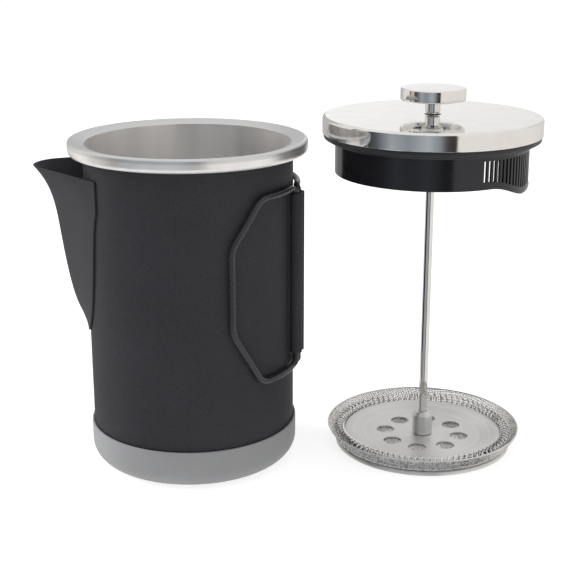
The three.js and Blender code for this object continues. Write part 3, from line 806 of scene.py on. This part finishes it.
def base_boot():
    """The silicone cup under the pot, with a soft rounded top edge."""
    corner = (BOOT_RADIUS - BOOT_CORNER, BOOT_CORNER)
    pot_corner = (POT_RADIUS - POT_CORNER, POT_FLOOR + POT_CORNER)
    inner = POT_RADIUS + FIT
    lip = (BOOT_RADIUS - inner) / 2
    outline = [
        (0, BOOT_RECESS), (POT_RADIUS / 2, BOOT_RECESS), (POT_RADIUS / 2 + BOOT_RECESS, 0),
        *arc(corner, BOOT_CORNER, -QUARTER, 0, 2 * CORNER_STEPS),
        *arc((BOOT_RADIUS - lip, BOOT_TOP - lip), lip, 0, math.pi, CORNER_STEPS),
        *arc(pot_corner, POT_CORNER + FIT, 0, -QUARTER, 2 * CORNER_STEPS),
        (0, POT_FLOOR - FIT),
    ]
    dress(lathe("base_boot", outline), "pot", "silicone", "base_boot")


def spout_profile(share):
    """How far out and how high the spout's fold is, at a share of its length."""
    foot = Vector((POT_RADIUS + 2 * SPOUT_SHEET / 3, SPOUT_FOOT))
    waist = Vector(SPOUT_WAIST)
    lip = Vector((SPOUT_REACH, SPOUT_TOP))
    if share < 0.5:
        return curve(foot, foot + FOOT_PULL, waist - BULGE_PULL, waist, 2 * share)
    return curve(waist, waist + FLARE_PULL, lip - LIP_PULL, lip, 2 * share - 1)


def spout():
    """Folded sheet: two sides leave the pot along tangents and meet in a rounded fold."""
    levels = 96
    side_steps = 14
    fold_steps = 20
    lap_steps = 3
    base = POT_RADIUS + FIT
    outer = []
    inner = []
    for level in range(levels + 1):
        share = (level / levels) ** LEVEL_SPREAD
        reach, height = spout_profile(share)
        bend = SPOUT_NOSE + (LIP_NOSE - SPOUT_NOSE) * smoothstep(share, LIP_START, 1)
        centre = reach - bend
        seam = min(math.acos((base - bend) / centre), SPOUT_SEAM)
        for grid, extra in ((outer, SPOUT_SHEET), (inner, 0)):
            nose = Vector((centre, 0))
            foot = Vector(polar(1, seam)) * (base + extra)
            side = foot - nose
            turned = math.atan2(side.y, side.x) - math.acos((bend + extra) / side.length)
            laps = [seam + SPOUT_LAP * (1 - i / lap_steps) for i in range(lap_steps)]
            half = [polar(base + extra, angle) for angle in laps]
            fold = arc(nose, bend + extra, turned, -turned, fold_steps)
            half += [tuple(foot.lerp(Vector(fold[0]), i / side_steps)) for i in range(side_steps)]
            row = half + fold + [(x, -y) for x, y in reversed(half)]
            grid.append([(-x, y, height) for x, y in row])
    piece = bevel(make("spout", *sheet(outer, inner)), 0.3)
    dress(piece, "pot", "powder_coat", "spout")


def handle_bracket():
    """The double sleeve: one lobe round each handle's leg, necked in against the pot."""
    node = "handle_bracket"
    x, y = PIVOT
    near = arc((x, -y), SLEEVE_LOBE, -SLEEVE_ROOT, SLEEVE_NECK, 3 * CORNER_STEPS)
    far = [(a, -b) for a, b in reversed(near)]
    base = math.asin(near[0][1] / POT_RADIUS) * SLEEVE_SPREAD
    foot = arc((0, 0), POT_RADIUS + FIT, -base, base, CORNER_STEPS)
    loops = [near + far + foot]
    for side in (-1, 1):
        loops.append(arc((x, side * y), SLEEVE_BORE, 0, 2 * math.pi, SMALL // 2)[:-1])
    piece = extrude(node, loops, low(node, "Z"), high(node, "Z"))
    dress(bevel(piece, 0.25), "pot", "powder_coat", node)


def handle_outline():
    """The handle laid flat: distance round the pot against height, its corners rounded."""
    joint = middle("handle_bracket", "Z")
    leg = math.atan2(PIVOT[1], PIVOT[0]) * HANDLE_RADIUS
    shoulder = SHOULDER * HANDLE_RADIUS
    grip = GRIP * HANDLE_RADIUS
    corners = [Vector(corner) for corner in (
        (leg, joint + WIRE_JOINT / 2), (leg, HANDLE_TOP), (shoulder, HANDLE_TOP),
        (grip, GRIP_HEIGHTS[1]), (grip, GRIP_HEIGHTS[0]), (shoulder, HANDLE_BOTTOM),
        (leg, HANDLE_BOTTOM), (leg, joint - WIRE_JOINT / 2),
    )]
    bend_steps = 12
    run_steps = 16
    points = [corners[0]]
    for before, corner, after in zip(corners, corners[1:], corners[2:]):
        start = corner + (before - corner).normalized() * WIRE_BEND
        end = corner + (after - corner).normalized() * WIRE_BEND
        points += [points[-1].lerp(start, i / run_steps) for i in range(1, run_steps + 1)]
        points += turn_corner(start, corner, end, bend_steps)[1:]
    points += [points[-1].lerp(corners[-1], i / run_steps) for i in range(1, run_steps + 1)]
    return points


def wire_handle(name, side):
    """The outline wrapped round the pot, on the front side (-1) or the back side (+1)."""
    points = []
    normals = []
    leg = PIVOT[1]
    for distance, height in handle_outline():
        angle = side * distance / HANDLE_RADIUS
        normal = outwards(angle)
        radius = HANDLE_RADIUS - WIRE_HUG * smoothstep(distance, leg, leg + HUG_LENGTH)
        points.append(normal * radius + Vector((0, 0, height)))
        normals.append(normal)
    piece = make(name, *tube(points, normals, WIRE_RADIUS, WIRE_FACETS))
    dress(piece, name, "powder_coat", name, finish=GLOSSY_COAT)


# ---- lid


def lid_cap():
    """A polished pan with a slight dome and a rolled shoulder."""
    shoulder = CAP_TOP - CAP_DOME
    inner = CAP_RADIUS - CAP_SHEET
    hole = BUSH_RADIUS + FIT
    dome_steps = 16
    span = CAP_RADIUS - CAP_EDGE

    def top(radius):
        return CAP_TOP - CAP_DOME * (radius / span) ** 2

    radii = [span + (hole - span) * i / dome_steps for i in range(1, dome_steps + 1)]
    outline = [
        (inner, CAP_BOTTOM),
        (inner + 0.2, CAP_BOTTOM - 0.15),
        (CAP_RADIUS - 0.2, CAP_BOTTOM - 0.15),
        (CAP_RADIUS, CAP_BOTTOM + 0.05),
        *arc((span, shoulder - CAP_EDGE), CAP_EDGE, 0, QUARTER, 2 * CORNER_STEPS),
        *[(radius, top(radius)) for radius in radii],
        *[(radius, top(radius) - CAP_SHEET) for radius in reversed(radii)],
        *arc((span, shoulder - CAP_EDGE), CAP_EDGE - CAP_SHEET, QUARTER, 0, CORNER_STEPS),
    ]
    turn_piece("lid_cap", outline, "lid", "polished_steel", LARGE, SEAT)


def flange_ring():
    """The stepped ring that drops into the rolled rim, with soft edges and a groove."""
    inner = SKIRT_RADIUS + 0.25
    outline = rounded([
        (inner, 0, 0.2),
        (FLANGE_STEP_RADIUS - 1.6, 0, 0.3),
        (FLANGE_STEP_RADIUS - 1.2, 0.5, 0.2),
        (FLANGE_STEP_RADIUS, 0.5, 0.5),
        (FLANGE_STEP_RADIUS, FLANGE_STEP, 0.3),
        (FLANGE_RADIUS, FLANGE_STEP, 0.9),
        (FLANGE_RADIUS, FLANGE_TOP, 0.4),
        (inner, FLANGE_TOP, 0.2),
    ])
    turn_piece("flange_ring", outline, "lid", "black_gasket", LARGE, SEAT)


def tab_share(angle):
    """How far the skirt has deepened into its tab, at an angle from the tab's middle."""
    return 1 - smoothstep(abs(angle), TAB_FULL, TAB_BLEND)


def skirt_columns():
    """The angles of the skirt's columns, and whether a slot begins at each."""
    half_slot = SLOT_WIDTH / SKIRT_RADIUS / 2
    columns = []
    for i in range(SLOT_COUNT):
        centre = (i - (SLOT_COUNT - 1) / 2) * SLOT_PITCH
        columns += [(centre - half_slot, True), (centre + half_slot, False)]
    start = columns[-1][0]
    end = columns[0][0] + 2 * math.pi
    plain = 120
    return columns + [(start + (end - start) * i / plain, False) for i in range(1, plain)]


def strainer_skirt():
    """The hanging skirt, slotted where it faces the spout, over a thick edge band."""
    columns = skirt_columns()
    vertices = []
    for angle, _ in columns:
        share = tab_share(math.remainder(angle, 2 * math.pi))
        bottom = -(SKIRT_DEPTH + (TAB_DEPTH - SKIRT_DEPTH) * share)
        band = [0, 0.15, 0.5, 0.85, 1]
        heights = [bottom + SLOT_MARGIN * part for part in band] + [SLOT_TOP, CAP_BOTTOM]
        swell = [TAB_LIP * share * math.sin(math.pi * part) for part in band] + [0, 0]
        for height, extra in zip(heights, swell):
            point = polar(SKIRT_RADIUS + extra, angle + TAB_DIRECTION)
            vertices.append((*point, height + SEAT))
    rows = len(heights)
    slot_row = rows - 3
    faces = []
    for i, (_, slotted) in enumerate(columns):
        j = (i + 1) % len(columns)
        for row in range(rows - 1):
            if slotted and row == slot_row:
                continue
            a, b = i * rows + row, j * rows + row
            faces.append([a, b, b + 1, a + 1])
    piece = make("strainer_skirt", vertices, faces, PLUNGER_AXIS)
    modifier = piece.modifiers.new("wall", "SOLIDIFY")
    modifier.thickness = SKIRT_WALL * MM
    modifier.offset = -1
    bake(piece)
    dress(bevel(piece, 0.22), "lid", "black_plastic", "strainer_skirt")


def insert_plate():
    """The insert's plate, clamped between the cap and the flange, with a stiffening step."""
    inner = BUSH_RADIUS + FIT
    step = CAP_BOTTOM + INSERT_STEP
    outline = rounded([
        (inner, CAP_BOTTOM, 0.2), (BUSH_FLANGE_RADIUS + 3, CAP_BOTTOM, 0.3),
        (BUSH_FLANGE_RADIUS + 3.5, step, 0.3), (SKIRT_RADIUS - 6, step, 0.3),
        (SKIRT_RADIUS - 5, CAP_BOTTOM, 0.3), (INSERT_RADIUS, CAP_BOTTOM, 0.3),
        (INSERT_RADIUS, INSERT_TOP, 0.3), (inner, INSERT_TOP, 0.2),
    ])
    piece = lathe("insert_plate", outline, PLUNGER_AXIS, MEDIUM, SEAT)
    dress(piece, "lid", "black_plastic", "strainer_skirt")


def guide_bush():
    """The flanged bearing that the rod slides in."""
    node = "guide_bush"
    bottom = low(node, "Z")
    top = high(node, "Z")
    flange = CAP_BOTTOM + SEAT - FIT
    outline = rounded([
        (BORE, bottom, 0.3), (BUSH_FLANGE_RADIUS - 1, bottom, 0.4),
        (BUSH_FLANGE_RADIUS, bottom + 1, 0.3), (BUSH_FLANGE_RADIUS, flange, 0.2),
        (BUSH_RADIUS, flange, 0.2), (BUSH_RADIUS, top, 0.5), (BORE, top, 0.3),
    ])
    turn_piece(node, outline, "lid_guide", "black_plastic")


def bush_washer():
    node = "bush_washer"
    outline = oblong(BUSH_RADIUS + FIT, radius_of(node), low(node, "Z"), high(node, "Z"), 0.3)
    turn_piece(node, outline, "lid_guide", "brushed_steel")


# ---- plunger


def knob():
    """A disc with a dished underside round its boss, all its edges broken."""
    dish = KNOB_BOTTOM + KNOB_DISH
    rim = KNOB_RADIUS - KNOB_LIP
    top = high("rod", "Z") + FIT
    outline = rounded([
        (0, top), (BORE, top), (BORE, KNOB_BOTTOM, 0.3), (KNOB_BOSS, KNOB_BOTTOM, 0.6),
        (KNOB_BOSS + 1, dish, 1.2), (rim - 0.8, dish, 1), (rim, KNOB_BOTTOM, 0.4),
        (KNOB_RADIUS, KNOB_BOTTOM, 0.7), (KNOB_RADIUS, KNOB_TOP - KNOB_CROWN, 0.7),
        (KNOB_RADIUS / 2, KNOB_TOP, 40), (0, KNOB_TOP),
    ], closed=False)
    turn_piece("knob", outline, "plunger", "polished_steel", MEDIUM)


def knob_neck():
    """The collar under the knob, flared at its top."""
    node = "knob_neck"
    bottom = low(node, "Z")
    top = KNOB_BOTTOM - FIT
    flare = NECK_RADIUS + NECK_FLARE
    outline = rounded([
        (BORE, bottom, 0.2), (NECK_RADIUS, bottom, 0.5), (NECK_RADIUS, top - 1.4, 0.2),
        (flare, top - 0.5, 0.4), (flare, top, 0.2), (BORE, top, 0.2),
    ])
    turn_piece(node, outline, "plunger", "polished_steel")


def rod():
    bottom = low("rod", "Z")
    top = high("rod", "Z")
    outline = rounded([
        (0, bottom), (ROD_RADIUS, bottom, 0.4), (ROD_RADIUS, top, 0.4), (0, top),
    ], closed=False)
    turn_piece("rod", outline, "plunger", "polished_steel")


def hub_nut():
    """The nut that clamps the filter stack: a bullet-nosed sleeve on a small foot."""
    outline = rounded([
        (BORE, HUB_BOTTOM, 0.2), (HUB_RADIUS, HUB_BOTTOM, 0.3), (HUB_RADIUS, HUB_TOP - 2, 1.8),
        (HUB_RADIUS - 1.6, HUB_TOP, 0.5), (BORE, HUB_TOP, 0.3),
    ])
    turn_piece("hub_nut", outline, "plunger", "brushed_steel")


def spiral_plate():
    """The dished plate whose raised edge carries the coil spring."""
    bottom = SPIRAL_BOTTOM
    top = bottom + PLATE_SHEET
    knee = SPIRAL_RADIUS - SPIRAL_RISE
    outline = rounded([
        (BORE, bottom), (SPIRAL_FLAT, bottom, 1.4), (knee, bottom + SPIRAL_RISE, 1.4),
        (SPIRAL_RADIUS, bottom + SPIRAL_RISE, 0.3), (SPIRAL_RADIUS, top + SPIRAL_RISE, 0.3),
        (knee, top + SPIRAL_RISE, 1.4), (SPIRAL_FLAT, top, 1.4), (BORE, top),
    ])
    plate = lathe("spiral_plate", outline, PLUNGER_AXIS, MEDIUM)
    plate = cut(plate, bars(SPIRAL_HOLES, bottom - 1, top + 1, PLUNGER_AXIS))
    dress(plate, "plunger", "brushed_steel", "spiral_plate")


def coil_spring():
    """One long helix bent round into a ring."""
    steps = 22
    points = []
    normals = []
    for i in range(COIL_TURNS * steps):
        around = 2 * math.pi * i / (COIL_TURNS * steps)
        twist = 2 * math.pi * i / steps
        out = outwards(around)
        normal = out * math.cos(twist) + Vector((0, 0, math.sin(twist)))
        points.append(out * COIL_RING + Vector((0, 0, COIL_HEIGHT)) + normal * COIL_RADIUS)
        normals.append(normal)
    piece = make("coil_spring", *tube(points, normals, COIL_WIRE, 8, closed=True), PLUNGER_AXIS)
    dress(piece, "plunger", "polished_steel", "coil_spring")


def screen_point(along):
    """Radius, height and slope of the screen's bowl, at a distance from its middle."""
    if along < SCREEN_FLAT:
        return along, SCREEN_BASE, 0
    slope = min((along - SCREEN_FLAT) / SCREEN_BEND, SCREEN_SLOPE)
    radius = SCREEN_FLAT + SCREEN_BEND * math.sin(slope)
    height = SCREEN_BASE + SCREEN_BEND * (1 - math.cos(slope))
    straight = along - SCREEN_FLAT - SCREEN_BEND * slope
    return radius + straight * math.cos(slope), height + straight * math.sin(slope), slope


def screen_reach():
    """How far the screen's edge lies from its middle, along the cloth."""
    bend_top = SCREEN_BASE + SCREEN_BEND * (1 - math.cos(SCREEN_SLOPE))
    straight = (SCREEN_RIM - SCREEN_WIRE - bend_top) / math.sin(SCREEN_SLOPE)
    return SCREEN_FLAT + SCREEN_BEND * SCREEN_SLOPE + straight


def mesh_screen():
    """Plain-woven wire cloth laid over the bowl, each wire passing over and under."""
    reach = screen_reach()
    count = int(reach / SCREEN_PITCH)
    vertices = []
    faces = []
    for swapped in (False, True):
        for row in range(-count, count + 1):
            points = []
            normals = []
            for i in range(-count, count + 1):
                u, v = i * SCREEN_PITCH, row * SCREEN_PITCH
                along = math.hypot(u, v)
                if along > reach or along < BORE + 1:
                    continue
                angle = math.atan2(u, v) if swapped else math.atan2(v, u)
                radius, height, slope = screen_point(along)
                out = outwards(angle)
                normal = Vector((0, 0, math.cos(slope))) - out * math.sin(slope)
                over = SCREEN_WIRE if (i + row + swapped) % 2 else -SCREEN_WIRE
                points.append(out * radius + Vector((0, 0, height)) + normal * over)
                normals.append(normal)
            if len(points) > 1:
                first = len(vertices)
                more, sides = tube(points, normals, SCREEN_WIRE, 4)
                vertices += more
                faces += [[corner + first for corner in side] for side in sides]
    piece = make("mesh_screen", vertices, faces, PLUNGER_AXIS)
    dress(piece, "plunger", "brushed_steel", "mesh_screen", finish=WIRE_CLOTH)


def screen_hem():
    """The folded strip round the screen's edge."""
    radius, height, slope = screen_point(screen_reach())
    sine, cosine = math.sin(slope), math.cos(slope)
    corners = ((0, -1, 0.25), (HEM_DEPTH, -1, 0.2), (HEM_DEPTH, 1, 0.2), (0, 1, 0.25))
    outline = rounded([(
        radius - depth * cosine + side * HEM_GAUGE / 2 * sine,
        height + SCREEN_WIRE - depth * sine - side * HEM_GAUGE / 2 * cosine,
        edge,
    ) for depth, side, edge in corners])
    dress(lathe("screen_hem", outline, PLUNGER_AXIS), "plunger", "brushed_steel", "mesh_screen")


def cross_plate():
    """The pierced plate that stands on its turned-down edge."""
    underside = PLATE_TOP - PLATE_SHEET
    inner = PLATE_RADIUS - PLATE_SHEET
    outline = rounded([
        (BORE, underside), (inner, underside, 0.4), (inner, 0, 0.2),
        (PLATE_RADIUS, 0, 0.2), (PLATE_RADIUS, PLATE_TOP, 1.1), (BORE, PLATE_TOP),
    ])
    plate = lathe("cross_plate", outline, PLUNGER_AXIS)
    plate = cut(plate, bars(CROSS_HOLES, -1, PLATE_TOP + 1, PLUNGER_AXIS))
    dress(plate, "plunger", "brushed_steel", "cross_plate")


def clamp_screw():
    """A low-headed screw with a slot across its head."""
    node = "clamp_screw"
    radius = radius_of(node)
    bottom = low(node, "Z")
    head = bottom + SCREW_HEAD
    tip = low("rod", "Z") - FIT
    outline = rounded([
        (0, bottom), (radius, bottom, 0.3), (radius, head, 0.2), (ROD_RADIUS, head, 0.1),
        (ROD_RADIUS, tip, 0.3), (0, tip),
    ], closed=False)
    screw = lathe(node, outline, PLUNGER_AXIS, SMALL)
    length, width, depth = SCREW_SLOT
    slot = [(x * length / 2, y * width / 2) for x, y in CORNERS]
    screw = cut(screw, extrude("cutter", [slot], bottom - 1, bottom + depth, PLUNGER_AXIS))
    dress(screw, "plunger", "brushed_steel", node)


# ---- studio


def studio_direction(turn, rise):
    """A direction at an angle to the right of the camera's, and above the floor."""
    flat = TOWARDS_CAMERA * math.cos(turn) + RIGHTWARDS * math.sin(turn)
    return flat * math.cos(rise) + Vector((0, 0, math.sin(rise)))


def softbox(name, turn, rise, distance, size, power):
    """A round lamp on the pot that mirrors don't show, in degrees, metres and watts."""
    light = bpy.data.lights.new(name, "AREA")
    light.shape = "DISK"
    light.size = size
    light.energy = power
    lamp = bpy.data.objects.new(name, light)
    target = Vector((middle("pot_body", "X") + POT_RADIUS, 0, SPOUT_WAIST[1])) * MM
    lamp.location = target + studio_direction(math.radians(turn), math.radians(rise)) * distance
    lamp.rotation_euler = (target - lamp.location).to_track_quat("-Z", "Y").to_euler()
    lamp.visible_glossy = False
    bpy.context.collection.objects.link(lamp)


# What polished metal mirrors, by degrees to the right of the camera: white screens at both
# sides, a grey room behind the camera, and the dark edges between them
SCREEN = (0.87, 0.84, 0.8)
DARK = (0.04, 0.036, 0.035)
FAR = (0.52, 0.52, 0.52)
WHITE = (1, 1, 1)
STUDIO = (
    (-180, *FAR), (-150, *FAR), (-125, *SCREEN), (-97, *SCREEN), (-95.5, *DARK), (-92, *DARK),
    (-91, 0.6, 0.55, 0.49), (-76, 0.56, 0.51, 0.46), (-75, *DARK), (-64, 0.1, 0.11, 0.125),
    (-48, 0.36, 0.39, 0.43), (-30, 0.26, 0.29, 0.32), (-10, 0.42, 0.46, 0.5), (2, 0.26, 0.28, 0.3),
    (8, 0.09, 0.09, 0.1), (12, 0.06, 0.05, 0.05), (19, *DARK), (20, *SCREEN), (115, *SCREEN),
    (150, 0.72, 0.7, 0.67), (180, *WHITE),
)
STEEP = (0.42, 0.62)  # how steep a mirrored ray is where the studio's walls end
OVERHEAD = (0.9, 0.89, 0.875)
AMBIENT = (0.42, 0.42, 0.42)  # what matt surfaces see all round
FLOOR_GLOW = 0.72  # makes the floor as white as the backdrop
FLOOR_HALF = 8  # metres


def make_world():
    """White to the camera, a plain glow on matt surfaces, and the studio in mirrors."""
    world = bpy.data.worlds.new("studio")
    world.use_nodes = True
    nodes = Nodes(world.node_tree)
    ray = nodes.add("TexCoord").outputs["Generated"]
    aside, ahead = (nodes.vector("DOT_PRODUCT", ray, way) for way in (RIGHTWARDS, TOWARDS_CAMERA))
    screens = nodes.add("ValToRGB")
    turn = nodes.math("ARCTAN2", aside, ahead)
    nodes.feed(screens, "Fac", nodes.spread(turn, -math.pi, math.pi, 0, 1))
    stops = screens.color_ramp.elements
    for degrees, *color in STUDIO:
        position = (degrees + 180) / 360
        stop = stops[-int(position)] if position in (0, 1) else stops.new(position)
        stop.color = (*color, 1)
    rise = nodes.math("ABSOLUTE", nodes.height(ray))
    steep = nodes.spread(rise, *STEEP, 0, 1, "SMOOTHSTEP")
    mirrored = nodes.blend(steep, screens.outputs["Color"], OVERHEAD)
    path = nodes.add("LightPath").outputs
    lighting = nodes.blend(path["Is Glossy Ray"], AMBIENT, mirrored)
    seen = nodes.blend(path["Is Camera Ray"], lighting, WHITE)
    nodes.feed(nodes.tree.nodes["Background"], "Color", seen)
    bpy.context.scene.world = world


def make_floor():
    """A pale floor that mirrors don't see."""
    mesh = bpy.data.meshes.new("floor")
    corners = [(x * FLOOR_HALF, y * FLOOR_HALF, -FIT * MM) for x, y in CORNERS]
    mesh.from_pydata(corners, [], [(0, 1, 2, 3)])
    floor = bpy.data.objects.new("floor", mesh)
    finish = Finish("floor", (0.6, 0.6, 0.6), 0.9)
    finish.set(**{
        "Specular IOR Level": 0.0, "Emission Color": (*WHITE, 1), "Emission Strength": FLOOR_GLOW,
    })
    cloud = finish.noise(0.002, 2)
    finish.colour(finish.blend(cloud, (0.59, 0.59, 0.59), (0.61, 0.61, 0.608)))
    mesh.materials.append(finish.material)
    floor.visible_glossy = False
    bpy.context.collection.objects.link(floor)


make_camera()
make_world()
make_floor()
softbox("key", turn=-105, rise=26, distance=2.2, size=1.6, power=37)
softbox("fill", turn=70, rise=20, distance=2.6, size=1.6, power=1)
softbox("top", turn=-20, rise=82, distance=2.2, size=2.4, power=18)
bpy.context.scene.view_settings.view_transform = "Standard"

pot_coat()
pot_liner()
base_boot()
spout()
handle_bracket()
wire_handle("front_handle", -1)
wire_handle("back_handle", 1)

lid_cap()
flange_ring()
strainer_skirt()
insert_plate()
guide_bush()
bush_washer()

knob()
knob_neck()
rod()
hub_nut()
spiral_plate()
coil_spring()
mesh_screen()
screen_hem()
cross_plate()
clamp_screw()
